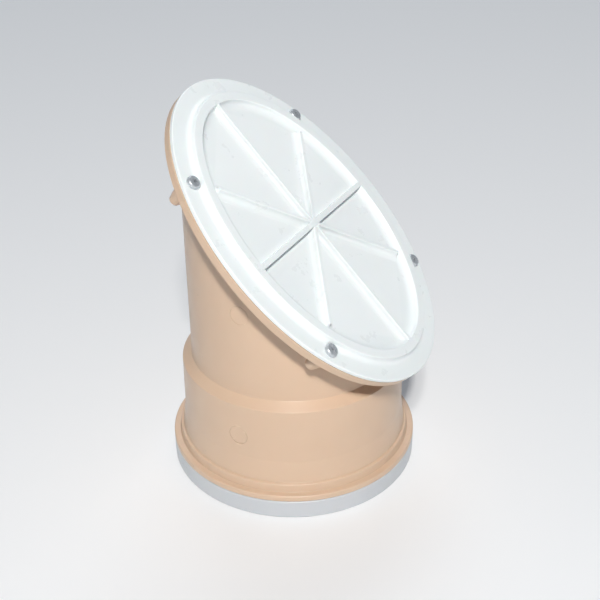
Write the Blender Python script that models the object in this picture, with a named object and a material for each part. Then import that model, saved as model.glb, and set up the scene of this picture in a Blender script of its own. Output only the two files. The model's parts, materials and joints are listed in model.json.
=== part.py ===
"""Rotating deck cowl vent for a 100 mm duct: a deck ring with a spigot, a cowl that turns on
it, and an oval cover screwed over the slanted mouth.

Metres, +Z up. The origin is on the cowl's turning axis, at the deck face. The mouth faces -Y.
"""

from math import cos, hypot, pi, radians, sin

import bmesh
import bpy
from mathutils import Matrix, Vector

for leftover in list(bpy.data.objects):
    bpy.data.objects.remove(leftover, do_unlink=True)

MM = 0.001
GAP = 0.3 * MM  # clearance between neighbours that touch

# Deck ring and spigot
RING_R = 66.5 * MM
RING_H = 10.0 * MM
RING_BEVEL = 1.2 * MM
RECESS_R = 64.2 * MM  # recess under the cowl's rim, with the deck screws and the glide ring
RECESS_Z = 8.5 * MM
DUCT_R = 50.0 * MM
SPIGOT_R = 55.4 * MM
SPIGOT_TOP = 52.0 * MM
SEAL_Z = 27.0 * MM
SEAL_GROOVE_R = 53.4 * MM
PIN_Z = 42.0 * MM
PIN_GROOVE_R = 53.6 * MM
SCREEN_SEAT_R = 52.5 * MM
SCREEN_SEAT_Z = 49.0 * MM
DECK_HOLES = 6
DECK_HOLE_R = 2.25 * MM
DECK_HOLE_PCR = 60.0 * MM
DECK_HOLE_HEAD_R = 4.0 * MM

# Cowl: rim, ledge, collar, shoulder and tube
RIM_Z0, RIM_Z1 = 10.3 * MM, 13.6 * MM
LEDGE_R, LEDGE_Z = 62.5 * MM, 18.0 * MM
COLLAR_FOOT_R = 60.2 * MM
COLLAR_MID_R, COLLAR_MID_Z = 59.4 * MM, 30.0 * MM
COLLAR_R, COLLAR_TOP = 59.0 * MM, 60.0 * MM
COLLAR_BORE_R = 56.0 * MM
TUBE_R, TUBE_Z0 = 54.0 * MM, 63.8 * MM
TUBE_BORE_R = 51.0 * MM

# Mouth plane: the cover's centre, its tilt, and heights above the cover's flat top
MOUTH_Y, MOUTH_Z = -11.6 * MM, 135.8 * MM
MOUTH_TILT = radians(45.0)
OVAL_X, OVAL_Y = 68.0 * MM, 90.5 * MM
PLATE_BOTTOM = -2.2 * MM
FLANGE_TOP, FLANGE_BOTTOM = -2.5 * MM, -6.8 * MM
REBATE_FLOOR = -3.8 * MM
REBATE_OUT = 2.6 * MM

# Raised bead and ribs on the cover
BEAD_X, BEAD_Y = 54.0 * MM, 76.4 * MM
BEAD_H = 3.4 * MM
RIB_TOP = 3.3 * MM
RIB_HALF = 1.25 * MM

# Cover screws, at the corners of a square on the oval
SCREW_XY = 50.0 * MM
HEAD_R, HEAD_H = 3.5 * MM, 2.3 * MM
SHANK_R, SHANK_END = 1.75 * MM, -11.7 * MM
SCREW_HOLE_R, SCREW_HOLE_END = 2.05 * MM, -12.4 * MM
BOSS_R, BOSS_TIP_R, BOSS_END = 4.4 * MM, 2.9 * MM, -16.0 * MM

BIG_STEPS = 48
RING_STEPS = 36
OVAL_STEPS = 60


def material(name, colour, roughness, metallic=0.0):
    made = bpy.data.materials.new(name)
    made.use_nodes = True
    shader = made.node_tree.nodes["Principled BSDF"]
    shader.inputs["Base Color"].default_value = (*colour, 1.0)
    shader.inputs["Roughness"].default_value = roughness
    shader.inputs["Metallic"].default_value = metallic
    made.diffuse_color = (*colour, 1.0)
    return made


WHITE = material("white_plastic", (0.80, 0.82, 0.85), 0.38)
BASE_WHITE = material("base_white_plastic", (0.66, 0.69, 0.73), 0.42)
CREAM = material("cream_plastic", (0.80, 0.58, 0.40), 0.42)
ACETAL = material("acetal", (0.78, 0.77, 0.72), 0.35)
RUBBER = material("black_rubber", (0.02, 0.02, 0.022), 0.7)
ZINC = material("zinc_plated_steel", (0.52, 0.53, 0.55), 0.32, 1.0)
STAINLESS = material("stainless_steel", (0.6, 0.6, 0.6), 0.3, 1.0)


def add(name, bm, look=None, parent=None, helper=False):
    """Turns a bmesh into an object; a helper is a shape that only cuts or joins."""
    bmesh.ops.remove_doubles(bm, verts=bm.verts, dist=1e-7)
    bmesh.ops.recalc_face_normals(bm, faces=bm.faces)
    mesh = bpy.data.meshes.new(name)
    bm.to_mesh(mesh)
    bm.free()
    mesh.shade_smooth()
    mesh.set_sharp_from_angle(angle=radians(30))
    made = bpy.data.objects.new(name, mesh)
    bpy.context.scene.collection.objects.link(made)
    made.parent = parent
    if helper:
        made.hide_render = True
        made.display_type = "WIRE"
    else:
        mesh.materials.append(look)
    return made


def empty(name, matrix, parent=None):
    made = bpy.data.objects.new(name, None)
    bpy.context.scene.collection.objects.link(made)
    made.parent = parent
    made.matrix_local = matrix
    return made


def spin_into(bm, profile, steps, matrix=None):
    """Spins an outline of (radius, height) pairs about +Z. An outline that starts and ends on
    the axis makes a full solid, and any other makes a ring."""
    matrix = matrix or Matrix()
    verts = [bm.verts.new((r, 0.0, z)) for r, z in profile]
    pairs = list(zip(verts, verts[1:]))
    if profile[0][0] or profile[-1][0]:
        pairs.append((verts[-1], verts[0]))
    edges = [bm.edges.new(pair) for pair in pairs]
    before = set(bm.verts) - set(verts)
    bmesh.ops.spin(
        bm, geom=verts + edges, cent=(0, 0, 0), axis=(0, 0, 1), angle=2 * pi,
        steps=steps, use_merge=True,
    )
    made = [v for v in bm.verts if v not in before]
    bmesh.ops.transform(bm, matrix=matrix, verts=made)


def turned(name, profile, steps=BIG_STEPS, places=(Matrix(),), **more):
    bm = bmesh.new()
    for place in places:
        spin_into(bm, profile, steps, place)
    return add(name, bm, **more)


def oval(a, b, out=0.0, height=0.0, centre_y=0.0, steps=OVAL_STEPS):
    """Points round an oval with half axes a and b, moved outwards square to its line."""
    points = []
    for i in range(steps):
        t = 2 * pi * i / steps
        nx, ny = b * cos(t), a * sin(t)
        length = hypot(nx, ny)
        x = a * cos(t) + out * nx / length
        y = b * sin(t) + out * ny / length
        points.append(Vector((x, y + centre_y, height)))
    return points


def lofted(name, rings, loop=False, places=(Matrix(),), **more):
    """Skins a stack of rings of equal count: capped at both ends, or closed into a loop."""
    bm = bmesh.new()
    for place in places:
        rows = [[bm.verts.new(place @ Vector(p)) for p in ring] for ring in rings]
        nexts = rows[1:] + (rows[:1] if loop else [])
        for low, high in zip(rows, nexts):
            for i in range(len(low)):
                j = (i + 1) % len(low)
                bm.faces.new((low[i], low[j], high[j], high[i]))
        if not loop:
            bm.faces.new(rows[0])
            bm.faces.new(rows[-1])
    return add(name, bm, **more)


def boolean(target, other, operation):
    made = target.modifiers.new(other.name, "BOOLEAN")
    made.operation = operation
    made.object = other
    made.solver = "EXACT"


def at(x, y, z=0.0, turn=0.0):
    return Matrix.Translation((x, y, z)) @ Matrix.Rotation(turn, 4, "Z")


def box_points(x0, x1, y0, y1, z0, z1):
    return [
        [(x0, y0, z), (x1, y0, z), (x1, y1, z), (x0, y1, z)] for z in (z0, z1)
    ]


# --- joints' frames ---------------------------------------------------------------------

cowl_axis = empty("cowl_axis", Matrix())
mouth = empty(
    "mouth_frame",
    Matrix.Translation((0, MOUTH_Y, MOUTH_Z)) @ Matrix.Rotation(MOUTH_TILT, 4, "X"),
    cowl_axis,
)

# --- deck ring with its spigot ----------------------------------------------------------

GASKET_R0, GASKET_R1, GASKET_H = 52.0 * MM, 56.5 * MM, 1.5 * MM
PIN_HALF = 3.0 * MM
SEAL_HALF = 1.5 * MM
edge = 0.6 * MM

deck_ring = turned(
    "deck_ring",
    [
        (DUCT_R + edge, 0.0),
        (DUCT_R, edge),
        (DUCT_R, SCREEN_SEAT_Z),
        (SCREEN_SEAT_R, SCREEN_SEAT_Z),
        (SCREEN_SEAT_R, SPIGOT_TOP),
        (SPIGOT_R - edge, SPIGOT_TOP),
        (SPIGOT_R, SPIGOT_TOP - edge),
        (SPIGOT_R, PIN_Z + PIN_HALF + GAP),
        (PIN_GROOVE_R, PIN_Z + PIN_HALF + GAP),
        (PIN_GROOVE_R, PIN_Z - PIN_HALF - GAP),
        (SPIGOT_R, PIN_Z - PIN_HALF - GAP),
        (SPIGOT_R, SEAL_Z + SEAL_HALF),
        (SEAL_GROOVE_R, SEAL_Z + SEAL_HALF),
        (SEAL_GROOVE_R, SEAL_Z - SEAL_HALF),
        (SPIGOT_R, SEAL_Z - SEAL_HALF),
        (SPIGOT_R, RECESS_Z),
        (RECESS_R, RECESS_Z),
        (RECESS_R, RING_H),
        (RING_R - RING_BEVEL, RING_H),
        (RING_R, RING_H - RING_BEVEL),
        (RING_R, edge),
        (RING_R - edge, 0.0),
        (GASKET_R1, 0.0),
        (GASKET_R1, GASKET_H),
        (GASKET_R0, GASKET_H),
        (GASKET_R0, 0.0),
    ],
    look=BASE_WHITE,
)
deck_holes = turned(
    "deck_hole_cutter",
    [
        (0.0, -1.0 * MM),
        (DECK_HOLE_R, -1.0 * MM),
        (DECK_HOLE_R, RECESS_Z - DECK_HOLE_HEAD_R + DECK_HOLE_R),
        (DECK_HOLE_HEAD_R, RECESS_Z),
        (DECK_HOLE_HEAD_R, RECESS_Z + 0.4 * MM),
        (0.0, RECESS_Z + 0.4 * MM),
    ],
    steps=16,
    places=[
        Matrix.Rotation(2 * pi * (i + 0.5) / DECK_HOLES, 4, "Z") @ at(DECK_HOLE_PCR, 0)
        for i in range(DECK_HOLES)
    ],
    helper=True,
)
boolean(deck_ring, deck_holes, "DIFFERENCE")


def flat_ring(name, r0, r1, z0, z1, look, parent=None):
    return turned(
        name, [(r0, z0), (r1, z0), (r1, z1), (r0, z1)], RING_STEPS, look=look, parent=parent
    )


flat_ring("deck_gasket", GASKET_R0 + GAP, GASKET_R1 - GAP, 0.0, GASKET_H - GAP, RUBBER)
flat_ring("glide_ring", 56.0 * MM, 63.6 * MM, RECESS_Z + GAP, RIM_Z0 - GAP, ACETAL)

SEAL_R, SEAL_WIRE = 54.7 * MM, 1.0 * MM
turned(
    "spigot_seal",
    [
        (SEAL_R + SEAL_WIRE * cos(2 * pi * i / 8), SEAL_Z + SEAL_WIRE * sin(2 * pi * i / 8))
        for i in range(8)
    ],
    RING_STEPS,
    look=RUBBER,
)

# --- insect screen in the top of the spigot ---------------------------------------------

FRAME_R0, FRAME_R1 = 49.0 * MM, 52.1 * MM
FRAME_WALL = 51.2 * MM
turned(
    "screen_frame",
    [
        (FRAME_R0, 49.3 * MM),
        (FRAME_R1, 49.3 * MM),
        (FRAME_R1, 51.9 * MM),
        (FRAME_WALL, 51.9 * MM),
        (FRAME_WALL, 50.3 * MM),
        (FRAME_R0, 50.3 * MM),
    ],
    RING_STEPS,
    look=WHITE,
)
flat_ring("screen_clip_ring", 49.2 * MM, 50.8 * MM, 51.3 * MM, 51.9 * MM, STAINLESS)

# The woven wire is one thin sheet here, with its edge folded under.
MESH_R = 50.8 * MM
turned(
    "insect_screen",
    [
        (0.0, 50.7 * MM),
        (MESH_R - 1.8 * MM, 50.7 * MM),
        (MESH_R - 1.8 * MM, 50.55 * MM),
        (MESH_R, 50.55 * MM),
        (MESH_R, 51.0 * MM),
        (0.0, 51.0 * MM),
    ],
    RING_STEPS,
    look=STAINLESS,
)

# --- cowl: one moulding from the rim to the mouth flange --------------------------------

small = 0.5 * MM
cowl_body = turned(
    "cowl_body",
    [
        (0.0, RIM_Z0),
        (RING_R - small, RIM_Z0),
        (RING_R, RIM_Z0 + small),
        (RING_R, RIM_Z1 - small),
        (RING_R - small, RIM_Z1),
        (LEDGE_R, RIM_Z1),
        (LEDGE_R, LEDGE_Z - small),
        (LEDGE_R - small, LEDGE_Z),
        (COLLAR_FOOT_R + small, LEDGE_Z),
        (COLLAR_FOOT_R, LEDGE_Z + 1.0 * MM),
        (COLLAR_MID_R, COLLAR_MID_Z),
        (COLLAR_R, COLLAR_TOP),
        (TUBE_R, TUBE_Z0),
        (TUBE_R, 205.0 * MM),
        (0.0, 205.0 * MM),
    ],
    look=CREAM,
    parent=cowl_axis,
)
# The tube is trimmed inside the flange's thickness, so that the flange laps over it.
trim = lofted(
    "mouth_trim_cutter",
    box_points(-90 * MM, 90 * MM, -160 * MM, 160 * MM, -4.6 * MM, 120 * MM),
    parent=mouth,
    helper=True,
)
flange = lofted(
    "mouth_flange",
    [
        oval(OVAL_X, OVAL_Y, -small, FLANGE_BOTTOM),
        oval(OVAL_X, OVAL_Y, 0.0, FLANGE_BOTTOM + small),
        oval(OVAL_X, OVAL_Y, 0.0, FLANGE_TOP - small),
        oval(OVAL_X, OVAL_Y, -small, FLANGE_TOP),
    ],
    parent=mouth,
    helper=True,
)
corners = [(sx * SCREW_XY, sy * SCREW_XY) for sx in (-1, 1) for sy in (1, -1)]
bosses = turned(
    "boss_shapes",
    [
        (0.0, BOSS_END),
        (BOSS_TIP_R * 0.6, BOSS_END + 0.3 * MM),
        (BOSS_TIP_R, BOSS_END + 1.5 * MM),
        (BOSS_R, FLANGE_BOTTOM),
        (BOSS_R, FLANGE_TOP - 1.0 * MM),
        (0.0, FLANGE_TOP - 1.0 * MM),
    ],
    steps=16,
    places=[at(x, y) for x, y in corners],
    parent=mouth,
    helper=True,
)
bore = turned(
    "cowl_bore_cutter",
    [
        (0.0, 5.0 * MM),
        (COLLAR_BORE_R, 5.0 * MM),
        (COLLAR_BORE_R, 57.5 * MM),
        (TUBE_BORE_R, 61.5 * MM),
        (TUBE_BORE_R, 230.0 * MM),
        (0.0, 230.0 * MM),
    ],
    parent=cowl_axis,
    helper=True,
)


def bore_centre(height):
    """Where the tube's axis crosses the mouth frame at a height, along the frame's own Y."""
    return -MOUTH_Y / cos(MOUTH_TILT) + height


BORE_Y = TUBE_BORE_R / sin(MOUTH_TILT)
SEAT_Y = bore_centre((FLANGE_TOP + REBATE_FLOOR) / 2)
rebate = lofted(
    "mouth_rebate_cutter",
    [oval(TUBE_BORE_R, BORE_Y, REBATE_OUT, h, SEAT_Y) for h in (REBATE_FLOOR, 1.0 * MM)],
    parent=mouth,
    helper=True,
)
boss_holes = turned(
    "boss_hole_cutter",
    [
        (0.0, SCREW_HOLE_END - 0.6 * MM),
        (SCREW_HOLE_R, SCREW_HOLE_END),
        (SCREW_HOLE_R, 1.0 * MM),
        (0.0, 1.0 * MM),
    ],
    steps=16,
    places=[at(x, y) for x, y in corners],
    parent=mouth,
    helper=True,
)

PIN_R, PIN_TIP = 3.0 * MM, 54.2 * MM
PIN_HEAD_R, PIN_SEAT, PIN_FACE = 5.0 * MM, 57.7 * MM, 59.0 * MM
SIDES = [Matrix.Translation((0, 0, PIN_Z)) @ Matrix.Rotation(a, 4, "Y") for a in (pi / 2, -pi / 2)]
pin_holes = turned(
    "pin_hole_cutter",
    [
        (0.0, 54.8 * MM),
        (PIN_R + GAP, 54.8 * MM),
        (PIN_R + GAP, PIN_SEAT - GAP),
        (PIN_HEAD_R + GAP, PIN_SEAT - GAP),
        (PIN_HEAD_R + GAP, 62.0 * MM),
        (0.0, 62.0 * MM),
    ],
    steps=24,
    places=SIDES,
    parent=cowl_axis,
    helper=True,
)
boolean(cowl_body, trim, "DIFFERENCE")
boolean(cowl_body, flange, "UNION")
boolean(cowl_body, bosses, "UNION")
boolean(cowl_body, bore, "DIFFERENCE")
boolean(cowl_body, rebate, "DIFFERENCE")
boolean(cowl_body, boss_holes, "DIFFERENCE")
boolean(cowl_body, pin_holes, "DIFFERENCE")

for number, side in enumerate(SIDES, 1):
    turned(
        f"retaining_pin_{number}",
        [
            (0.0, PIN_TIP),
            (PIN_R - edge, PIN_TIP),
            (PIN_R, PIN_TIP + edge),
            (PIN_R, PIN_SEAT),
            (PIN_HEAD_R, PIN_SEAT),
            (PIN_HEAD_R, PIN_FACE),
            (0.0, PIN_FACE + 0.2 * MM),
        ],
        steps=24,
        places=[side],
        look=CREAM,
        parent=cowl_axis,
    )

GASKET_TOP = FLANGE_TOP
lofted(
    "cover_gasket",
    [
        oval(TUBE_BORE_R, BORE_Y, out, h, SEAT_Y)
        for out, h in (
            (0.4 * MM, REBATE_FLOOR + GAP),
            (REBATE_OUT - GAP, REBATE_FLOOR + GAP),
            (REBATE_OUT - GAP, GASKET_TOP),
            (0.4 * MM, GASKET_TOP),
        )
    ],
    loop=True,
    look=RUBBER,
    parent=mouth,
)

# --- cover: an oval plate with a raised bead and crossing ribs --------------------------

cover_plate = lofted(
    "cover_plate",
    [
        oval(OVAL_X, OVAL_Y, 0.0, PLATE_BOTTOM),
        oval(OVAL_X, OVAL_Y, 0.0, -small),
        oval(OVAL_X, OVAL_Y, -small, 0.0),
    ]
    + [
        oval(BEAD_X, BEAD_Y, out * MM, h * MM)
        for out, h in (
            (4.7, 0.0),
            (4.2, 0.5),
            (3.9, 1.4),
            (3.7, 3.0),
            (3.3, BEAD_H / MM),
            (-1.0, BEAD_H / MM),
            (-1.5, 3.0),
            (-2.2, 1.6),
            (-3.6, 0.5),
            (-6.0, 0.0),
        )
    ],
    look=WHITE,
    parent=mouth,
)


def rib_rings(length, round_end):
    """A rib along +-Y: wide at its foot, RIB_HALF at its top, with stepped ends."""
    half_widths = (
        (2.2 * MM, -0.8 * MM),
        (2.2 * MM, 0.15 * MM),
        (1.6 * MM, 0.8 * MM),
        (RIB_HALF + 0.15 * MM, 2.9 * MM),
        (RIB_HALF - 0.15 * MM, RIB_TOP),
    )
    rings = []
    for wide, height in half_widths:
        end = length - (0.6 * max(height, 0.0) if round_end else 0.0)
        tip = 0.7 * wide
        outline = [
            (wide, -end + tip), (wide, end - tip), (wide * 0.6, end - 0.2 * tip),
            (0.0, end), (-wide * 0.6, end - 0.2 * tip), (-wide, end - tip),
            (-wide, -end + tip), (-wide * 0.6, -end + 0.2 * tip), (0.0, -end),
            (wide * 0.6, -end + 0.2 * tip),
        ]
        rings.append([(x, y, height) for x, y in outline])
    return rings


for name, turn, length, round_end in (
    ("rib_long", 0.0, 76.5 * MM, False),
    ("rib_cross", pi / 2, 53.5 * MM, False),
    ("rib_diagonal_1", pi / 4, 55.0 * MM, True),
    ("rib_diagonal_2", -pi / 4, 55.0 * MM, True),
):
    rib = lofted(
        name, rib_rings(length, round_end), places=[at(0, 0, 0, turn)], parent=mouth, helper=True
    )
    boolean(cover_plate, rib, "UNION")

plate_holes = turned(
    "plate_hole_cutter",
    [(0.0, -4 * MM), (2.1 * MM, -4 * MM), (2.1 * MM, 2 * MM), (0.0, 2 * MM)],
    steps=16,
    places=[at(x, y) for x, y in corners],
    parent=mouth,
    helper=True,
)
boolean(cover_plate, plate_holes, "DIFFERENCE")

# --- cover screws: pan head with a cross recess -----------------------------------------

screw = turned(
    "screw_blank",
    [
        (0.0, SHANK_END),
        (SHANK_R, SHANK_END + 1.6 * MM),
        (SHANK_R, GAP),
        (HEAD_R, GAP),
        (HEAD_R, GAP + 0.9 * MM),
        (HEAD_R * 0.9, GAP + 1.6 * MM),
        (HEAD_R * 0.62, GAP + HEAD_H - 0.15 * MM),
        (0.0, GAP + HEAD_H),
    ],
    steps=16,
    helper=True,
)
arm, span = 0.5 * MM, 1.9 * MM
cross = [
    (arm, span), (-arm, span), (-arm, arm), (-span, arm), (-span, -arm), (-arm, -arm),
    (-arm, -span), (arm, -span), (arm, -arm), (span, -arm), (span, arm), (arm, arm),
]
recess = lofted(
    "cross_recess_cutter",
    [[(x, y, z) for x, y in cross] for z in (GAP + HEAD_H - 1.3 * MM, GAP + HEAD_H + 1.0 * MM)],
    helper=True,
)
boolean(screw, recess, "DIFFERENCE")
bpy.context.view_layer.update()
graph = bpy.context.evaluated_depsgraph_get()
screw_mesh = bpy.data.meshes.new_from_object(screw.evaluated_get(graph))
screw_mesh.name = "pan_head_screw"
screw_mesh.materials.clear()
screw_mesh.materials.append(ZINC)
for unused in (screw, recess):
    bpy.data.objects.remove(unused, do_unlink=True)
for number, ((x, y), turn) in enumerate(zip(corners, (20, 65, 40, 5)), 1):
    placed = bpy.data.objects.new(f"cover_screw_{number}", screw_mesh)
    bpy.context.scene.collection.objects.link(placed)
    placed.parent = mouth
    placed.location = (x, y, 0.0)
    placed.rotation_euler = (0.0, 0.0, radians(turn))
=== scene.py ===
"""Looks of the rotating deck cowl vent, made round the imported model.

Metres, +Z up, the cowl turns about the Z axis and its slanted mouth faces -Y.
"""

import json
from math import cos, pi, radians, sin, sqrt

import bpy
from mathutils import Matrix, Vector


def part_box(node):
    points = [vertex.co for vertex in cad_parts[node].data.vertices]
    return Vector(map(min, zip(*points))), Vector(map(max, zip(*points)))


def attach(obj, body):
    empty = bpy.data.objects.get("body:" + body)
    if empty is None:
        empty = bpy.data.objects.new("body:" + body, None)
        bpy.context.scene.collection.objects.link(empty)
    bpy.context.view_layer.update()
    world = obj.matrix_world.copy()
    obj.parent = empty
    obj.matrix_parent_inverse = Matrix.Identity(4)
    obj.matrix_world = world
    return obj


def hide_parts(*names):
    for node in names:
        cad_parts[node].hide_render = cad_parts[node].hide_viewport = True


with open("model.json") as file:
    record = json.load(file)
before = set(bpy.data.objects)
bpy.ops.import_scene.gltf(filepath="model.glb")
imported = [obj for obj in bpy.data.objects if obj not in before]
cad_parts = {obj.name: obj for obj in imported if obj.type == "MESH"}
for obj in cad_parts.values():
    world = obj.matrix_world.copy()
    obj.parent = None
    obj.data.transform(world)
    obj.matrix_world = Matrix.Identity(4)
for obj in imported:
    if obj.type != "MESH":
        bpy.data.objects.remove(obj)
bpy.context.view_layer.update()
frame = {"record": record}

MM = 0.001

# --- places read from the model ------------------------------------------------------------

ring_low, ring_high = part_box("deck_ring")
cowl_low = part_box("cowl_body")[0]
plate_low, plate_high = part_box("cover_plate")
pin_low, pin_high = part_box("retaining_pin_1")
lift = next(j for j in frame["record"]["behaviour"]["joints"] if j["name"] == "cover_lift")

RING_R = (ring_high.x - ring_low.x) / 2
PIN_Z = (pin_low.z + pin_high.z) / 2
MOUTH_N = Vector(lift["axis"]).normalized()

# The plate's outline, its middle and its tilt
OVAL_X = (plate_high.x - plate_low.x) / 2
OVAL_Y = 90.5 * MM
PLATE_T = 2.2 * MM
ROOT_HALF = sqrt(0.5)
MOUTH_Y = plate_low.y + OVAL_Y * ROOT_HALF
MOUTH_Z = plate_low.z + PLATE_T * ROOT_HALF + OVAL_Y * ROOT_HALF
MOUTH = Matrix.Translation((0, MOUTH_Y, MOUTH_Z)) @ Matrix.Rotation(radians(45), 4, "X")
BORE_SHIFT = -MOUTH_Y / ROOT_HALF  # the tube's axis in the mouth frame, at height 0

SIDES = 144  # round the big turned pieces
OVAL_SIDES = 180

TUBE_R, TUBE_BORE_R = 54.0 * MM, 51.0 * MM
COLLAR_BORE_R = 56.0 * MM
FLANGE_TOP, FLANGE_BOTTOM = -2.5 * MM, -6.8 * MM
REBATE_FLOOR, REBATE_OUT = -3.8 * MM, 2.6 * MM
BEAD_X, BEAD_Y = 54.0 * MM, 76.4 * MM
SCREW_XY = 50.0 * MM
CORNERS = [(sx * SCREW_XY, sy * SCREW_XY) for sx in (-1, 1) for sy in (1, -1)]
SCREW_TURNS = (20, 65, 40, 5)


# --- modelling by hand ---------------------------------------------------------------------


def clear_selection():
    if bpy.context.mode != "OBJECT":
        bpy.ops.object.mode_set(mode="OBJECT")
    bpy.ops.object.select_all(action="DESELECT")


def make_active(piece):
    clear_selection()
    piece.select_set(True)
    bpy.context.view_layer.objects.active = piece


def edit(piece):
    make_active(piece)
    bpy.ops.object.mode_set(mode="EDIT")
    bpy.ops.mesh.select_mode(type="VERT")


def place(piece, matrix):
    """Moves the mesh by a matrix and leaves the object at the origin."""
    make_active(piece)
    piece.matrix_world = matrix
    bpy.ops.object.transform_apply(location=True, rotation=True, scale=True)


def select_where(piece, test):
    """In edit mode: selects only the points that pass a test of their place."""
    bpy.ops.mesh.select_all(action="DESELECT")
    bpy.ops.object.mode_set(mode="OBJECT")
    for vertex in piece.data.vertices:
        vertex.select = test(vertex.co)
    bpy.ops.object.mode_set(mode="EDIT")


class Rings:
    """A loop of points that is extruded and scaled, ring by ring, into a skin. A ring is
    (half width in X, half width in Y, height, middle in Y)."""

    def __init__(self, name, ring, sides=SIDES, fill=False):
        clear_selection()
        kind = "NGON" if fill else "NOTHING"
        bpy.ops.mesh.primitive_circle_add(vertices=sides, radius=1.0, fill_type=kind)
        self.piece = bpy.context.object
        self.piece.name = self.piece.data.name = name
        edit(self.piece)
        bpy.ops.mesh.select_all(action="SELECT")
        bpy.ops.transform.resize(value=(ring[0], ring[1], 1), center_override=(0, 0, 0))
        bpy.ops.transform.translate(value=(0, ring[3], ring[2]))
        self.ring = ring

    def to(self, *rings):
        for ring in rings:
            old = self.ring
            bpy.ops.mesh.extrude_region_move()
            bpy.ops.transform.resize(
                value=(ring[0] / old[0], ring[1] / old[1], 1),
                center_override=(0, old[3], old[2]),
            )
            bpy.ops.transform.translate(value=(0, ring[3] - old[3], ring[2] - old[2]))
            self.ring = ring
        return self

    def close(self):
        """Joins the last ring to the first."""
        bpy.ops.mesh.select_all(action="DESELECT")
        bpy.ops.mesh.select_non_manifold()
        bpy.ops.mesh.bridge_edge_loops()
        return self.done()

    def done(self):
        bpy.ops.mesh.select_all(action="SELECT")
        bpy.ops.mesh.remove_doubles(threshold=1e-7)
        bpy.ops.mesh.normals_make_consistent(inside=False)
        bpy.ops.object.mode_set(mode="OBJECT")
        return self.piece


def circle(r, z):
    return (r, r, z, 0.0)


def oval(out, height):
    """A ring that runs at a distance outside the bead's middle line."""
    return (BEAD_X + out, BEAD_Y + out, height, 0.0)


def bore_ring(height, out=0.0):
    """The bore's outline at a height in the mouth frame."""
    return (TUBE_BORE_R + out, TUBE_BORE_R / ROOT_HALF + out, height, BORE_SHIFT + height)


def rounded(points, radius, steps=4):
    """Turns every corner of an outline of (radius, height) pairs into a small arc. A corner
    can give its own radius as a third number, and the ends stay."""
    made = [points[0][:2]]
    for before, corner, after in zip(points, points[1:], points[2:]):
        own = corner[2] if len(corner) > 2 else radius
        here = Vector(corner[:2])
        back, on = Vector(before[:2]) - here, Vector(after[:2]) - here
        turn = back.angle(on)
        if own <= 0 or turn > radians(178):
            made.append(tuple(here))
            continue
        slope = max(0.05, abs(sin(turn / 2) / cos(turn / 2)))
        cut = min(own / slope, back.length * 0.45, on.length * 0.45)
        start, end = here + back.normalized() * cut, here + on.normalized() * cut
        for i in range(steps + 1):
            t = i / steps
            made.append(tuple((1 - t) ** 2 * start + 2 * t * (1 - t) * here + t * t * end))
    made.append(points[-1][:2])
    return made


def turned(name, points, radius=0.3 * MM, sides=SIDES, solid=False, steps=4):
    """A turned piece from its outline. A solid one has both ends capped."""
    rings = [circle(r, z) for r, z in rounded(points, radius, steps)]
    made = Rings(name, rings[0], sides, fill=solid).to(*rings[1:])
    return made.done() if solid else made.close()


def combine(piece, other, how):
    """A Boolean with a shape that is used up by it."""
    make_active(piece)
    cut = piece.modifiers.new("cut", "BOOLEAN")
    cut.operation = how
    cut.object = other
    cut.solver = "MANIFOLD"
    bpy.ops.object.modifier_apply(modifier=cut.name)
    bpy.data.objects.remove(other, do_unlink=True)


def finish_surface(piece, angle=35, weighted=True):
    """Smooth shading with sharp edges kept, and the flats kept flat."""
    make_active(piece)
    bpy.ops.object.shade_smooth_by_angle(angle=radians(angle))
    if weighted:
        even = piece.modifiers.new("flats", "WEIGHTED_NORMAL")
        even.keep_sharp = True
        even.weight = 50
        bpy.ops.object.modifier_apply(modifier=even.name)


def copy_of(piece, name, matrix):
    made = piece.copy()
    made.data = piece.data.copy()
    made.name = made.data.name = name
    bpy.context.scene.collection.objects.link(made)
    place(made, matrix)
    return made


def combine_copies(piece, shape, places, how):
    """A Boolean with a copy of one shape at each place. The shape itself is used up."""
    for number, where in enumerate(places, 1):
        combine(piece, copy_of(shape, f"{shape.name}_{number}", where), how)
    bpy.data.objects.remove(shape, do_unlink=True)


# --- finishes ------------------------------------------------------------------------------


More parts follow.
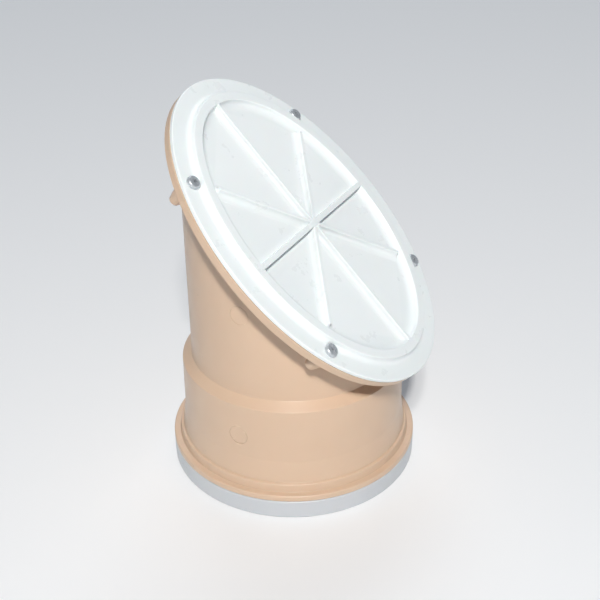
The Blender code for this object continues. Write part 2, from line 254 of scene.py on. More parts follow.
class Nodes:
    """Short ways to add and join shader nodes."""

    def __init__(self, name):
        self.material = bpy.data.materials.new(name)
        self.material.use_nodes = True
        self.tree = self.material.node_tree
        self.shader = self.tree.nodes["Principled BSDF"]
        self.place = self.add("ShaderNodeTexCoord").outputs["Object"]

    def add(self, kind):
        return self.tree.nodes.new(kind)

    def join(self, out, into):
        self.tree.links.new(out, into)

    def noise(self, scale, detail=3.0, rough=0.5, stretch=None):
        node = self.add("ShaderNodeTexNoise")
        node.inputs["Scale"].default_value = scale
        node.inputs["Detail"].default_value = detail
        node.inputs["Roughness"].default_value = rough
        place = self.place
        if stretch:
            mapping = self.add("ShaderNodeMapping")
            mapping.inputs["Scale"].default_value = stretch
            self.join(place, mapping.inputs["Vector"])
            place = mapping.outputs["Vector"]
        self.join(place, node.inputs["Vector"])
        return node.outputs["Fac"]

    def span(self, source, low, high, start=0.0, end=1.0):
        """A value's stretch from start to end, spread from low to high."""
        node = self.add("ShaderNodeMapRange")
        for key, value in (
            ("From Min", start), ("From Max", end), ("To Min", low), ("To Max", high)
        ):
            node.inputs[key].default_value = value
        self.join(source, node.inputs["Value"])
        return node.outputs["Result"]

    def mix(self, amount, a, b):
        node = self.add("ShaderNodeMix")
        node.data_type = "RGBA"
        for value, socket in ((amount, node.inputs[0]), (a, node.inputs[6]), (b, node.inputs[7])):
            if isinstance(value, (int, float)):
                socket.default_value = value
            elif isinstance(value, (tuple, list)):
                socket.default_value = (*value[:3], 1.0)
            else:
                self.join(value, socket)
        return node.outputs[2]

    def bump(self, height, distance, strength=1.0, under=None):
        node = self.add("ShaderNodeBump")
        node.inputs["Distance"].default_value = distance
        node.inputs["Strength"].default_value = strength
        self.join(height, node.inputs["Height"])
        if under is not None:
            self.join(under, node.inputs["Normal"])
        return node.outputs["Normal"]

    def surface(self, colour=None, rough=None, normal=None):
        for value, key in ((colour, "Base Color"), (rough, "Roughness"), (normal, "Normal")):
            if value is not None:
                self.join(value, self.shader.inputs[key])
        return self.material


# How fine each pattern is, in repeats to the metre
FLOW_CLOUDS, FLOW_STREAKS, SPECKS, SPECK_PATCHES = 22.0, 14.0, 760.0, 48.0
SCUFFS, MOULD_GRAIN, MOULD_WAVE = 90.0, 2600.0, 34.0
ZINC_CLOUDS, METAL_GRAIN, RUBBER_BLOOM, RUBBER_GRAIN = 900.0, 5200.0, 130.0, 1800.0
PLASTIC_IOR, PLASTIC_DEPTH = 1.49, 2 * MM


def moulded_plastic(name, colour, shade, worn, rough, specks=0.5):
    """Injection-moulded plastic: faint flow clouds, fine grain, painted shade darkening the
    concave corners, paler rubbed edges and a few tiny specks."""
    nodes = Nodes(name)
    clouds = nodes.noise(FLOW_CLOUDS, 4.0, 0.55)
    streaks = nodes.noise(FLOW_STREAKS, 3.0, 0.5, stretch=(1.0, 1.0, 0.25))
    base = nodes.mix(nodes.span(clouds, 0.0, 1.0, 0.3, 0.7), colour, shade)
    base = nodes.mix(nodes.span(streaks, 0.0, 0.35, 0.45, 0.75), base, worn)
    edge = nodes.add("ShaderNodeNewGeometry").outputs["Pointiness"]
    base = nodes.mix(nodes.span(edge, 0.0, 0.55, 0.52, 0.62), base, worn)
    # Concave corners (low pointiness) are darkened towards the shade colour: painted shade.
    painted_corner_shade = nodes.span(edge, 0.35, 0.0, 0.40, 0.49)
    base = nodes.mix(painted_corner_shade, base, tuple(c * 0.55 for c in shade))
    spots = nodes.noise(SPECKS, 1.0, 0.4)
    where = nodes.noise(SPECK_PATCHES, 2.0, 0.5)
    rare = nodes.add("ShaderNodeMath")
    rare.operation = "MULTIPLY"
    nodes.join(nodes.span(spots, 0.0, 1.0, 0.75, 0.79), rare.inputs[0])
    nodes.join(nodes.span(where, 0.0, specks, 0.58, 0.66), rare.inputs[1])
    base = nodes.mix(rare.outputs[0], base, tuple(c * 0.45 for c in shade))
    scuffs = nodes.noise(SCUFFS, 4.0, 0.6)
    gloss = nodes.span(scuffs, rough - 0.03, rough + 0.06, 0.35, 0.7)
    fine = nodes.noise(MOULD_GRAIN, 2.0, 0.5)
    wave = nodes.noise(MOULD_WAVE, 2.0, 0.5)
    normal = nodes.bump(wave, 0.05 * MM, 0.3)
    normal = nodes.bump(fine, 0.012 * MM, 0.6, normal)
    nodes.shader.inputs["IOR"].default_value = PLASTIC_IOR
    nodes.shader.inputs["Subsurface Weight"].default_value = 0.06
    nodes.shader.inputs["Subsurface Scale"].default_value = PLASTIC_DEPTH
    return nodes.surface(base, gloss, normal)


def plated_steel(name, colour, dull, rough, metal=1.0):
    """Satin metal: cloudy plating, bright rubbed edges and painted shade in the corners."""
    nodes = Nodes(name)
    clouds = nodes.noise(ZINC_CLOUDS, 4.0, 0.6)
    base = nodes.mix(nodes.span(clouds, 0.0, 1.0, 0.35, 0.7), colour, dull)
    edge = nodes.add("ShaderNodeNewGeometry").outputs["Pointiness"]
    base = nodes.mix(nodes.span(edge, 0.0, 0.7, 0.53, 0.62), base, (0.85, 0.86, 0.88))
    # Concave corners are darkened strongly: painted shade.
    base = nodes.mix(nodes.span(edge, 0.8, 0.0, 0.38, 0.48), base, tuple(c * 0.25 for c in dull))
    fine = nodes.noise(METAL_GRAIN, 3.0, 0.6)
    gloss = nodes.span(fine, rough - 0.06, rough + 0.12, 0.3, 0.7)
    normal = nodes.bump(fine, 0.006 * MM, 0.8)
    nodes.shader.inputs["Metallic"].default_value = metal
    return nodes.surface(base, gloss, normal)


def rubber(name, colour, bloomed):
    """Black rubber with a grey bloom."""
    nodes = Nodes(name)
    bloom = nodes.noise(RUBBER_BLOOM, 5.0, 0.6)
    base = nodes.mix(nodes.span(bloom, 0.0, 0.6, 0.4, 0.75), colour, bloomed)
    gloss = nodes.span(bloom, 0.55, 0.8, 0.3, 0.7)
    normal = nodes.bump(nodes.noise(RUBBER_GRAIN, 3.0, 0.6), 0.03 * MM, 0.7)
    return nodes.surface(base, gloss, normal)


CREAM = moulded_plastic(
    "cream_moulded", (0.66, 0.480, 0.345), (0.64, 0.462, 0.33), (0.74, 0.57, 0.425), 0.34
)
WHITE = moulded_plastic(
    "white_moulded", (0.86, 0.90, 0.895), (0.845, 0.885, 0.885), (0.90, 0.93, 0.93), 0.30,
    specks=0.1,
)
RING_WHITE = moulded_plastic(
    "grey_white_moulded", (0.56, 0.58, 0.605), (0.54, 0.56, 0.585), (0.70, 0.72, 0.745), 0.33
)
ACETAL = moulded_plastic(
    "acetal_natural", (0.74, 0.73, 0.68), (0.70, 0.69, 0.63), (0.80, 0.79, 0.74), 0.4,
    specks=0.1,
)
ZINC = plated_steel("zinc_plate", (0.66, 0.69, 0.71), (0.48, 0.51, 0.54), 0.38, metal=0.6)
STAINLESS = plated_steel("stainless_wire", (0.62, 0.62, 0.61), (0.46, 0.46, 0.45), 0.3)
RUBBER = rubber("black_rubber", (0.018, 0.018, 0.02), (0.06, 0.06, 0.062))


def dress(piece, look):
    piece.data.materials.clear()
    piece.data.materials.append(look)


def install(piece, body, nodes, look):
    """Gives a finished piece its look and its body, and hides the CAD nodes that it stands for.
    """
    dress(piece, look)
    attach(piece, body)
    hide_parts(*nodes)


# --- deck ring with its spigot -------------------------------------------------------------

RECESS_Z, RECESS_R = 8.5 * MM, 64.2 * MM
SPIGOT_R, SPIGOT_TOP = 55.4 * MM, ring_high.z
DUCT_R, RING_T = 50.0 * MM, 10.0 * MM
SCREEN_SEAT_Z, SCREEN_SEAT_R = 49.0 * MM, 52.5 * MM
PIN_GROOVE_R, PIN_GROOVE_HALF = 53.6 * MM, 3.3 * MM
SEAL_GROOVE_R, SEAL_GROOVE_LOW, SEAL_GROOVE_HIGH = 53.4 * MM, 25.5 * MM, 28.5 * MM
GASKET_GROOVE_IN, GASKET_GROOVE_OUT, GASKET_GROOVE_T = 52.0 * MM, 56.5 * MM, 1.5 * MM
ring_outline = [
    (DUCT_R, 20.0 * MM),
    (DUCT_R, SCREEN_SEAT_Z),
    (SCREEN_SEAT_R, SCREEN_SEAT_Z),
    (SCREEN_SEAT_R, SPIGOT_TOP),
    (SPIGOT_R, SPIGOT_TOP, 0.6 * MM),
    (SPIGOT_R, PIN_Z + PIN_GROOVE_HALF),
    (PIN_GROOVE_R, PIN_Z + PIN_GROOVE_HALF),
    (PIN_GROOVE_R, PIN_Z - PIN_GROOVE_HALF),
    (SPIGOT_R, PIN_Z - PIN_GROOVE_HALF),
    (SPIGOT_R, SEAL_GROOVE_HIGH),
    (SEAL_GROOVE_R, SEAL_GROOVE_HIGH),
    (SEAL_GROOVE_R, SEAL_GROOVE_LOW),
    (SPIGOT_R, SEAL_GROOVE_LOW),
    (SPIGOT_R, RECESS_Z, 0.8 * MM),
    (RECESS_R, RECESS_Z),
    (RECESS_R, RING_T),
    (RING_R, RING_T, 1.5 * MM),
    (RING_R, 0.0, 0.5 * MM),
    (GASKET_GROOVE_OUT, 0.0),
    (GASKET_GROOVE_OUT, GASKET_GROOVE_T),
    (GASKET_GROOVE_IN, GASKET_GROOVE_T),
    (GASKET_GROOVE_IN, 0.0),
    (DUCT_R, 0.0, 0.6 * MM),
    (DUCT_R, 18.0 * MM),
]
deck_ring = turned("deck_ring_moulding", ring_outline, 0.25 * MM)
DECK_HOLE_R, DECK_HOLES, DECK_HOLE_CIRCLE_R = 2.25 * MM, 6, 60.0 * MM
# The countersink runs through the recess's floor.
deck_hole = turned(
    "deck_hole",
    [
        (DECK_HOLE_R, -2 * MM), (DECK_HOLE_R, RECESS_Z - 1.75 * MM),
        (4.4 * MM, RECESS_Z + 0.4 * MM),
    ],
    0.0, 32, solid=True,
)
out_to_hole = Matrix.Translation((DECK_HOLE_CIRCLE_R, 0, 0))
hole_circle = [
    Matrix.Rotation(radians(30 + 60 * i), 4, "Z") @ out_to_hole for i in range(DECK_HOLES)
]
combine_copies(deck_ring, deck_hole, hole_circle, "DIFFERENCE")
finish_surface(deck_ring)
install(deck_ring, "base", ["deck_ring"], RING_WHITE)

# --- cowl moulding -------------------------------------------------------------------------

COWL_Z = cowl_low.z
cowl_outline = rounded(
    [
        (58.0 * MM, COWL_Z),
        (RING_R, COWL_Z, 0.6 * MM),
        (RING_R, 13.6 * MM, 0.9 * MM),
        (62.9 * MM, 13.6 * MM, 0.5 * MM),
        (62.4 * MM, 18.0 * MM, 0.9 * MM),
        (60.9 * MM, 18.0 * MM, 0.7 * MM),
        (59.42 * MM, 30.0 * MM, 2.0 * MM),
        (59.26 * MM, 35.4 * MM, 0),
        (59.25 * MM, 36.2 * MM, 0),
        (59.15 * MM, 47.8 * MM, 0),
        (59.14 * MM, 48.6 * MM, 0),
        (59.0 * MM, 60.0 * MM, 0.5 * MM),
        (TUBE_R + 0.2 * MM, 63.8 * MM, 0.7 * MM),
        (TUBE_R, 70.0 * MM, 0),
        *[(TUBE_R, z * MM, 0) for z in (82, 94, 102.4, 103.2, 114.8, 115.6, 128)],
        (TUBE_R, 215.0 * MM),
    ],
    0.3 * MM,
)
rings = [circle(r, z) for r, z in cowl_outline]
skin = Rings("cowl_moulding", rings[0]).to(*rings[1:])
cowl = skin.piece

# The tube is cut along the mouth, just under the flange.
UNDER_FILLET, UNDER_SPREAD, ON_CUT = 1.2 * MM, 0.9 * MM, 2e-6
cut_height = FLANGE_BOTTOM - UNDER_FILLET
bpy.ops.mesh.select_all(action="SELECT")
bpy.ops.mesh.bisect(
    plane_co=tuple(MOUTH @ Vector((0, 0, cut_height))),
    plane_no=tuple(MOUTH_N),
    clear_outer=True,
    threshold=1e-8,
)
place(cowl, MOUTH.inverted())
edit(cowl)
select_where(cowl, lambda co: abs(co.z - cut_height) < ON_CUT)
cut_points = sum(abs(v.co.z - cut_height) < ON_CUT for v in cowl.data.vertices)
if cut_points < SIDES:
    raise ValueError(f"the cut round the tube has only {cut_points} points")


def tube_ring(height, out=0.0):
    """The tube's outline at a height in the mouth frame."""
    return (TUBE_R + out, TUBE_R / ROOT_HALF + out, height, BORE_SHIFT + height)


skin.ring = tube_ring(cut_height)
seat = (FLANGE_TOP + REBATE_FLOOR) / 2
seat_ring = (
    TUBE_BORE_R + REBATE_OUT,
    TUBE_BORE_R / ROOT_HALF + REBATE_OUT,
    FLANGE_TOP,
    BORE_SHIFT + seat,
)
edge = 0.45 * MM


def flange_ring(inset, height):
    return (OVAL_X - inset, OVAL_Y - inset, height, 0.0)


# A small fillet runs from the tube into the flange's underside.
blend = [
    tube_ring(cut_height + UNDER_FILLET * (1 - cos(t)), UNDER_SPREAD * (1 - sin(pi / 2 - t)))
    for t in (radians(a) for a in (30, 60, 80))
]
skin.to(
    *blend,
    flange_ring(1.6 * edge, FLANGE_BOTTOM),
    flange_ring(edge, FLANGE_BOTTOM),
    flange_ring(0.3 * edge, FLANGE_BOTTOM + 0.3 * edge),
    flange_ring(0, FLANGE_BOTTOM + edge),
    flange_ring(0, FLANGE_TOP - edge),
    flange_ring(0.3 * edge, FLANGE_TOP - 0.3 * edge),
    flange_ring(edge, FLANGE_TOP),
    flange_ring(1.6 * edge, FLANGE_TOP),
    seat_ring,
    (*seat_ring[:2], REBATE_FLOOR, seat_ring[3]),
    bore_ring(REBATE_FLOOR),
)
bpy.ops.object.mode_set(mode="OBJECT")
place(cowl, MOUTH)
edit(cowl)
# The bore runs straight down from the slanted mouth to a flat ring over the collar.
BORE_FOOT_Z = 61.5 * MM
bpy.ops.mesh.extrude_region_move()
bpy.ops.transform.resize(value=(1, 1, 0), center_override=(0, 0, BORE_FOOT_Z))
skin.ring = circle(TUBE_BORE_R, BORE_FOOT_Z)
inner = rounded(
    [
        (TUBE_BORE_R, BORE_FOOT_Z),
        (COLLAR_BORE_R, 57.5 * MM),
        (COLLAR_BORE_R, 50.0 * MM, 0),
        (COLLAR_BORE_R, 34.0 * MM, 0),
        (COLLAR_BORE_R, COWL_Z, 0.5 * MM),
        (57.5 * MM, COWL_Z),
    ],
    0.4 * MM,
)
skin.to(*[circle(r, z) for r, z in inner[1:]])
skin.close()

# Four bosses for the screws, their holes blind
BOSS_END, BOSS_HOLE_R = -16.0 * MM, 2.05 * MM
boss_outline = [
    (5.6 * MM, FLANGE_BOTTOM + 0.6 * MM),
    (5.3 * MM, FLANGE_BOTTOM - 0.05 * MM),
    (4.75 * MM, FLANGE_BOTTOM - 0.35 * MM),
    (4.35 * MM, FLANGE_BOTTOM - 1.1 * MM),
    (3.0 * MM, BOSS_END + 1.6 * MM),
    (2.7 * MM, BOSS_END + 0.7 * MM),
    (2.0 * MM, BOSS_END + 0.2 * MM),
    (1.0 * MM, BOSS_END),
]
corner_places = [MOUTH @ Matrix.Translation((x, y, 0)) for x, y in CORNERS]
boss = turned("boss", boss_outline, 0.0, 40, solid=True)
combine_copies(cowl, boss, corner_places, "UNION")
boss_hole = turned(
    "boss_hole",
    [(0.6 * MM, -12.9 * MM), (BOSS_HOLE_R, -12.3 * MM), (BOSS_HOLE_R, 2 * MM)],
    0.0, 32, solid=True,
)
combine_copies(cowl, boss_hole, corner_places, "DIFFERENCE")

# Pins and marks lie along X on both sides; their outlines' heights are distances from the axis.
MARK_Z = 109.0 * MM
PIN_SHANK_R, PIN_HEAD_R, PIN_HEAD_TOP = 3.0 * MM, 5.0 * MM, 59.08 * MM
PIN_HOLE_R, PIN_SEAT_R, PIN_SEAT = 3.2 * MM, 5.12 * MM, 57.5 * MM
pin_sides = [Matrix.Rotation(a, 4, "Y") for a in (radians(90), radians(-90))]
up_pin, up_mark = Matrix.Translation((0, 0, PIN_Z)), Matrix.Translation((0, 0, MARK_Z))
pin_hole = turned(
    "pin_hole",
    [
        (PIN_HOLE_R, 54.8 * MM), (PIN_HOLE_R, PIN_SEAT),
        (PIN_SEAT_R, PIN_SEAT), (PIN_SEAT_R, 62 * MM),
    ],
    0.0, 64, solid=True,
)
combine_copies(cowl, pin_hole, [up_pin @ side for side in pin_sides], "DIFFERENCE")
# A faint moulded ring higher up, its face following the round of the tube
MARK_IN, MARK_OUT, MARK_LOW, MARK_TOP = 4.75 * MM, 5.05 * MM, 53.8 * MM, 54.18 * MM
mark = turned(
    "mould_mark",
    [(MARK_IN, MARK_LOW), (MARK_OUT, MARK_LOW), (MARK_OUT, MARK_TOP), (MARK_IN, MARK_TOP)],
    0.04 * MM, 96,
)
for vertex in mark.data.vertices:
    vertex.co.z = sqrt(vertex.co.z**2 - vertex.co.y**2)
marks = [copy_of(mark, "mould_mark", up_mark @ side) for side in pin_sides]
bpy.data.objects.remove(mark, do_unlink=True)
make_active(cowl)
for mark in marks:
    mark.select_set(True)
bpy.ops.object.join()
finish_surface(cowl)
install(cowl, "cowl", ["cowl_body"], CREAM)

pin = turned(
    "retaining_pin",
    [
        (1.2 * MM, 54.2 * MM),
        (PIN_SHANK_R, 54.2 * MM, 0.6 * MM),
        (PIN_SHANK_R, PIN_SEAT + 0.2 * MM),
        (PIN_HEAD_R, PIN_SEAT + 0.2 * MM),
        (PIN_HEAD_R, PIN_HEAD_TOP, 0.15 * MM),
        (4.0 * MM, PIN_HEAD_TOP),
        (1.0 * MM, PIN_HEAD_TOP),
    ],
    0.1 * MM, 64, solid=True,
)
for number, side in enumerate(pin_sides, 1):
    fixed_pin = copy_of(pin, f"retaining_pin_{number}_fine", up_pin @ side)
    finish_surface(fixed_pin)
    install(fixed_pin, "cowl", [f"retaining_pin_{number}"], CREAM)
bpy.data.objects.remove(pin, do_unlink=True)

# --- cover plate ---------------------------------------------------------------------------


def hollow(wall, width, height, steps=8):
    """A concave foot from (wall + width, 0) up to (wall, height); width may be negative."""
    return [
        (wall + width * (1 - sin(a)), height * (1 - cos(a)))
        for a in (pi / 2 * i / steps for i in range(steps + 1))
    ]


BEAD_H = 3.4 * MM
outer_foot = hollow(3.8 * MM, 2.8 * MM, 2.4 * MM)
inner_foot = hollow(-1.55 * MM, -4.5 * MM, 2.75 * MM)
# The plate's edge is the flange's outline; its top is at height 0 in the mouth frame.
plate = Rings("cover_moulding", flange_ring(0.3 * MM, -PLATE_T), OVAL_SIDES, fill=True)
plate.to(
    flange_ring(0, -PLATE_T + 0.3 * MM),
    flange_ring(0, -0.55 * MM),
    flange_ring(0.1 * MM, -0.22 * MM),
    flange_ring(0.3 * MM, -0.06 * MM),
    flange_ring(0.6 * MM, 0.0),
    flange_ring(1.0 * MM, 0.0),
    oval(7.2 * MM, 0.0),
    *[oval(out, h) for out, h in outer_foot],
    oval(3.7 * MM, 2.95 * MM),
    oval(3.6 * MM, 3.25 * MM),
    oval(3.3 * MM, BEAD_H),
    oval(3.0 * MM, BEAD_H),
    oval(-0.7 * MM, BEAD_H),
    oval(-1.0 * MM, BEAD_H),
    oval(-1.25 * MM, 3.28 * MM),
    oval(-1.42 * MM, 3.05 * MM),
    *[oval(out, h) for out, h in reversed(inner_foot)],
    oval(-6.6 * MM, 0.0),
)
plate = plate.done()

RIB_TOP = 3.35 * MM
WIDE_RIB = [
    *hollow(1.0 * MM, 3.4 * MM, 2.4 * MM, 6),
    (0.9 * MM, 3.0 * MM), (0.8 * MM, RIB_TOP - 0.1 * MM), (0.55 * MM, RIB_TOP),
]
# The cross rib has steep walls and a flat top
STEEP_RIB = [
    *hollow(1.5 * MM, 0.35 * MM, 0.35 * MM, 3),
    (1.42 * MM, RIB_TOP - 0.15 * MM), (1.25 * MM, RIB_TOP),
]


def rib(name, outline, half_length, turn):
    """A rib along Y with hollow feet all round, raised from its foot's outline by insets."""
    wide = outline[0][0]
    made = Rings(name, circle(wide, -1.0 * MM), 30, fill=True)
    piece = made.piece
    reach = half_length - 0.85 * MM
    for way in (1, -1):
        select_where(piece, lambda co: co.y * way > 0)
        bpy.ops.transform.translate(value=(0, way * reach, 0))
    bpy.ops.mesh.select_all(action="SELECT")
    bpy.ops.mesh.extrude_region_move()
    bpy.ops.transform.translate(value=(0, 0, 1.02 * MM))
    bpy.ops.object.mode_set(mode="OBJECT")
    for face in piece.data.polygons:
        face.select = face.center.z > 0 and len(face.vertices) > 4
    bpy.ops.object.mode_set(mode="EDIT")
    bpy.ops.mesh.select_mode(type="FACE")
    old = outline[0]
    for new in outline[1:]:
        bpy.ops.mesh.inset(thickness=old[0] - new[0], depth=new[1] - old[1])
        old = new
    bpy.ops.mesh.select_mode(type="VERT")
    made.done()
    place(piece, Matrix.Rotation(turn, 4, "Z"))
    return piece


LONG_HALF, CROSS_HALF, DIAGONAL_HALF = 76.2 * MM, 53.8 * MM, 57.8 * MM
for name, outline, length, turn in (
    ("rib_long", WIDE_RIB, LONG_HALF, 0.0),
    ("rib_cross", STEEP_RIB, CROSS_HALF, pi / 2),
    ("rib_diagonal_1", WIDE_RIB, DIAGONAL_HALF, pi / 4),
    ("rib_diagonal_2", WIDE_RIB, DIAGONAL_HALF, -pi / 4),
):
    combine(plate, rib(name, outline, length, turn), "UNION")
flat_corners = [Matrix.Translation((x, y, 0)) for x, y in CORNERS]
SCREW_SEAT_R, PLATE_HOLE_R = 4.1 * MM, 2.1 * MM
seat_cut = turned(
    "screw_seat", [(SCREW_SEAT_R, 0.03 * MM), (SCREW_SEAT_R, 6 * MM)], 0.0, 48, solid=True
)
combine_copies(plate, seat_cut, flat_corners, "DIFFERENCE")
plate_hole = turned(
    "plate_hole", [(PLATE_HOLE_R, -5 * MM), (PLATE_HOLE_R, 3 * MM)], 0.0, 32, solid=True
)
combine_copies(plate, plate_hole, flat_corners, "DIFFERENCE")
place(plate, MOUTH)
finish_surface(plate)
install(plate, "cover", ["cover_plate"], WHITE)

# --- cover screws --------------------------------------------------------------------------

HEAD_Z, HEAD_R, HEAD_H = 0.12 * MM, 3.5 * MM, 2.3 * MM
CORE_R, CREST_R, THREAD_TURNS, THREAD_PITCH = 1.35 * MM, 1.75 * MM, 8, 1.25 * MM
DRIVE_LENGTH, DRIVE_WIDTH, DRIVE_DEPTH = 3.9 * MM, 0.95 * MM, 2.6 * MM
thread = []
for i in range(THREAD_TURNS):
    z = -0.9 * MM - THREAD_PITCH * i
    thread += [(CORE_R, z), (CREST_R, z - 0.35 * MM), (CORE_R, z - 0.7 * MM)]
screw = turned(
    "pan_head_screw",
    [
        (0.3 * MM, -11.7 * MM), (1.2 * MM, -10.4 * MM), *reversed(thread),
        (1.4 * MM, -0.4 * MM), (1.7 * MM, HEAD_Z), (3.4 * MM, HEAD_Z),
    ],
    0.0, 32, solid=True,
)
head = turned(
    "screw_head",
    [
        (1.0 * MM, HEAD_Z - 0.02 * MM),
        (HEAD_R, HEAD_Z - 0.02 * MM, 0.15 * MM),
        (HEAD_R, HEAD_Z + 1.15 * MM, 1.0 * MM),
        (2.9 * MM, HEAD_Z + 2.0 * MM, 0.6 * MM),
        (0.8 * MM, HEAD_Z + HEAD_H),
    ],
    0.2 * MM, 48, solid=True,
)
combine(head, screw, "UNION")
# The cross recess narrows as it goes down.
for turn in (0, pi / 2):
    clear_selection()
    bpy.ops.mesh.primitive_cube_add(size=1.0)
    slot_cut = bpy.context.object
    edit(slot_cut)
    bpy.ops.mesh.select_all(action="SELECT")
    bpy.ops.transform.resize(
        value=(DRIVE_LENGTH, DRIVE_WIDTH, DRIVE_DEPTH), center_override=(0, 0, 0)
    )
    select_where(slot_cut, lambda co: co.z < 0)
    bpy.ops.transform.resize(value=(0.45, 0.6, 1), center_override=(0, 0, 0))
    up_head = Matrix.Translation((0, 0, HEAD_Z + 2.2 * MM))
    place(slot_cut, up_head @ Matrix.Rotation(turn, 4, "Z"))
    combine(head, slot_cut, "DIFFERENCE")
finish_surface(head)
for number, ((x, y), turn) in enumerate(zip(CORNERS, SCREW_TURNS), 1):
    at = MOUTH @ Matrix.Translation((x, y, 0)) @ Matrix.Rotation(radians(turn), 4, "Z")
    fixed = copy_of(head, f"cover_screw_{number}_fine", at)
    install(fixed, "cover", [f"cover_screw_{number}"], ZINC)
bpy.data.objects.remove(head, do_unlink=True)

# --- rings, gaskets and seal ----------------------------------------------------------------


def square_ring(inner, outer, low, high):
    return [(inner, low), (outer, low), (outer, high), (inner, high)]


SEAL_R, SEAL_WIRE, SEAL_Z, SEAL_SIDES = 54.7 * MM, 1.0 * MM, 27.0 * MM, 16
seal_outline = [
    (SEAL_R + SEAL_WIRE * cos(angle), SEAL_Z + SEAL_WIRE * sin(angle))
    for angle in (2 * pi * i / SEAL_SIDES for i in range(SEAL_SIDES))
]
frame_outline = [
    (49.0 * MM, 49.3 * MM), (52.1 * MM, 49.3 * MM), (52.1 * MM, 51.9 * MM),
    (51.2 * MM, 51.9 * MM), (51.2 * MM, 50.3 * MM), (49.0 * MM, 50.3 * MM),
]
deck_gasket_outline = square_ring(52.3 * MM, 56.2 * MM, 0.0, 1.2 * MM)
glide_outline = square_ring(56.0 * MM, 63.6 * MM, 8.8 * MM, 10.0 * MM)
clip_outline = square_ring(49.2 * MM, 50.8 * MM, 51.3 * MM, 51.9 * MM)
for node, outline, corner, look, slot in (
    ("deck_gasket", deck_gasket_outline, 0.15 * MM, RUBBER, "black_rubber"),
    ("glide_ring", glide_outline, 0.15 * MM, ACETAL, "acetal"),
    ("spigot_seal", seal_outline, 0.0, RUBBER, "black_rubber"),
    ("screen_frame", frame_outline, 0.12 * MM, WHITE, "white_plastic"),
    ("screen_clip_ring", clip_outline, 0.1 * MM, STAINLESS, "stainless_steel"),
):
    ring_piece = turned(f"{node}_fine", outline, corner)
    finish_surface(ring_piece)
    install(ring_piece, "base", [node], look)

# The cover's gasket lies in the rebate round the mouth.
low, high = REBATE_FLOOR + 0.3 * MM, FLANGE_TOP
wide, slim = REBATE_OUT - 0.3 * MM, 0.4 * MM


def gasket_ring(out, height):
    return (TUBE_BORE_R + out, TUBE_BORE_R / ROOT_HALF + out, height, BORE_SHIFT + seat)


gasket = Rings("cover_gasket_fine", gasket_ring(slim, low), OVAL_SIDES).to(
    gasket_ring(wide - 0.1 * MM, low), gasket_ring(wide, low + 0.1 * MM),
    gasket_ring(wide, high - 0.15 * MM), gasket_ring(wide - 0.15 * MM, high),
    gasket_ring(slim + 0.15 * MM, high), gasket_ring(slim, high - 0.15 * MM),
).close()
place(gasket, MOUTH)
finish_surface(gasket)
install(gasket, "cowl", ["cover_gasket"], RUBBER)

# --- insect screen: plain-woven wire cloth -----------------------------------------------------

WIRES, WIRE_PITCH, WIRE_R, CRIMP = 57, 1.8 * MM, 0.1 * MM, 0.12 * MM
CLOTH_Z, CLOTH_R = 50.79 * MM, 50.6 * MM
half_cloth = (WIRES - 1) / 2 * WIRE_PITCH

# One wire along X, up and down by turns at each crossing
clear_selection()
bpy.ops.mesh.primitive_circle_add(
    vertices=5, radius=WIRE_R, fill_type="NGON", rotation=(0, pi / 2, 0),
    location=(-half_cloth - WIRE_PITCH, 0, -CRIMP),
)
wire = bpy.context.object
edit(wire)
bpy.ops.mesh.select_all(action="SELECT")
for i in range(WIRES + 1):
    bpy.ops.mesh.extrude_region_move()
    rise = 2 * CRIMP if i % 2 == 0 else -2 * CRIMP
    bpy.ops.transform.translate(value=(WIRE_PITCH, 0, rise))
bpy.ops.mesh.select_all(action="SELECT")
bpy.ops.mesh.normals_make_consistent(inside=False)
clear_selection()
place(wire, wire.matrix_world.copy())

as_made, over = Matrix.Identity(4), Matrix.Rotation(pi, 4, "X")  # over swaps ups and downs
quarter = Matrix.Rotation(pi / 2, 4, "Z")
cloth_wires = []
for i in range(WIRES):
    across = i * WIRE_PITCH - half_cloth
    flip, other_flip = (over, as_made) if i % 2 else (as_made, over)
    along_x = Matrix.Translation((0, across, CLOTH_Z)) @ flip
    along_y = Matrix.Translation((across, 0, CLOTH_Z)) @ quarter @ other_flip
    cloth_wires += [copy_of(wire, "wire", along_x), copy_of(wire, "wire", along_y)]
bpy.data.objects.remove(wire, do_unlink=True)
make_active(cloth_wires[0])
for one in cloth_wires:
    one.select_set(True)
bpy.ops.object.join()
cloth = cloth_wires[0]
cloth.name = cloth.data.name = "insect_screen_woven"
blank = turned(
    "cloth_blank",
    [(CLOTH_R, CLOTH_Z - 1 * MM), (CLOTH_R, CLOTH_Z + 1 * MM)],
    0.0, 72, solid=True,
)
combine(cloth, blank, "INTERSECT")
finish_surface(cloth, 60, weighted=False)
install(cloth, "base", ["insect_screen"], STAINLESS)

# --- floor, light and camera ---------------------------------------------------------------

FLOOR_SIZE, FLOOR_Z, FLOOR_COLOUR = 12.0, -0.3 * MM, (0.92, 0.92, 0.92, 1.0)
BAND_COLOUR, ROOM_COLOUR = (0.42, 0.44, 0.46, 1.0), (0.07, 0.09, 0.12, 1.0)
BAND_TOP, ROOM_START = 0.03, 0.13  # as the height of a direction of length 1

clear_selection()
bpy.ops.mesh.primitive_plane_add(size=FLOOR_SIZE, location=(0, 0, FLOOR_Z))
floor = bpy.context.object
floor.name = "floor"
paper = bpy.data.materials.new("pale_paper")
paper.use_nodes = True
paper_shader = paper.node_tree.nodes["Principled BSDF"]
paper_shader.inputs["Base Color"].default_value = FLOOR_COLOUR
paper_shader.inputs["Roughness"].default_value = 0.9
floor.data.materials.append(paper)

world = bpy.data.worlds.new("studio")
bpy.context.scene.world = world
world.use_nodes = True
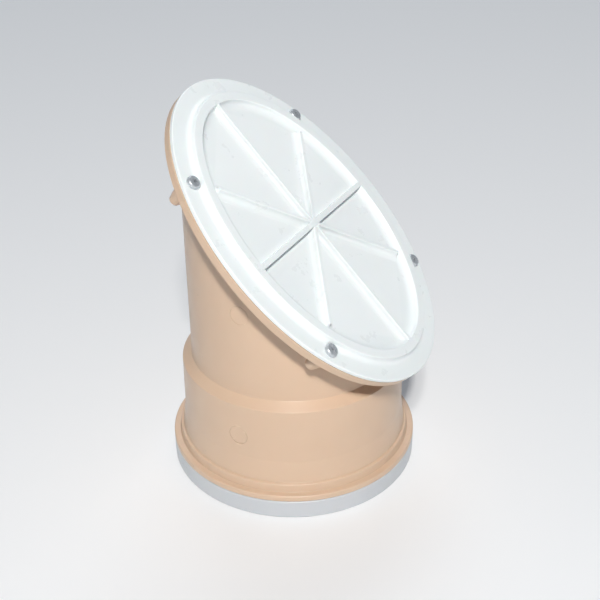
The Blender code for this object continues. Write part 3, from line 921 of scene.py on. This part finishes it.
# A dim cool room over a pale band at the horizon
tree = world.node_tree
way = tree.nodes.new("ShaderNodeTexCoord")
parts = tree.nodes.new("ShaderNodeSeparateXYZ")
tree.links.new(way.outputs["Generated"], parts.inputs[0])
height = tree.nodes.new("ShaderNodeMapRange")
height.inputs["From Min"].default_value = BAND_TOP
height.inputs["From Max"].default_value = ROOM_START
tree.links.new(parts.outputs["Z"], height.inputs["Value"])
room = tree.nodes.new("ShaderNodeMix")
room.data_type = "RGBA"
room.inputs[6].default_value = BAND_COLOUR
room.inputs[7].default_value = ROOM_COLOUR
tree.links.new(height.outputs["Result"], room.inputs[0])
tree.links.new(room.outputs[2], tree.nodes["Background"].inputs["Color"])


def towards(azimuth, elevation):
    """The way from the vent to a place round it. Azimuth 0 is in front of the mouth, 90 at +X."""
    a, e = radians(azimuth), radians(elevation)
    return Vector((sin(a) * cos(e), -cos(a) * cos(e), sin(e)))


def light(name, azimuth, elevation, distance, size, power, colour):
    """A square light aimed at the vent's middle."""
    back = towards(azimuth, elevation)
    data = bpy.data.lights.new(name, "AREA")
    data.size, data.energy, data.color = size, power, colour
    made = bpy.data.objects.new(name, data)
    bpy.context.scene.collection.objects.link(made)
    made.location = Vector((0, 0, LIGHT_AIM_Z)) + back * distance
    made.rotation_mode = "QUATERNION"
    made.rotation_quaternion = (-back).to_track_quat("-Z", "Y")


LIGHT_AIM_Z = 0.1
WARM, COOL = (1.0, 0.985, 0.96), (0.90, 0.95, 1.0)
light("key", -61, 45.5, 6.0, 0.30, 222.0, WARM)
light("lamp", -61, 45.5, 0.95, 0.05, 3.1, WARM)
light("back", 118, 48, 5.0, 3.0, 58.0, COOL)

CAM_AZ, CAM_EL, CAM_DIST, CAM_ROLL, AIM_Z = -61.73, 29.55, 0.5416, -0.82, 0.0940
camera_data = bpy.data.cameras.new("camera")
camera_data.sensor_width = 36.0
camera_data.lens = 62.21
camera_data.shift_x, camera_data.shift_y = 0.0134, -0.0110
camera = bpy.data.objects.new("camera", camera_data)
bpy.context.scene.collection.objects.link(camera)
back = towards(CAM_AZ, CAM_EL)
camera.location = Vector((0, 0, AIM_Z)) + back * CAM_DIST
camera.rotation_mode = "QUATERNION"
roll = Matrix.Rotation(radians(CAM_ROLL), 4, back).to_quaternion()
camera.rotation_quaternion = roll @ (-back).to_track_quat("-Z", "Y")
bpy.context.scene.camera = camera
bpy.context.scene.view_settings.view_transform = "Standard"
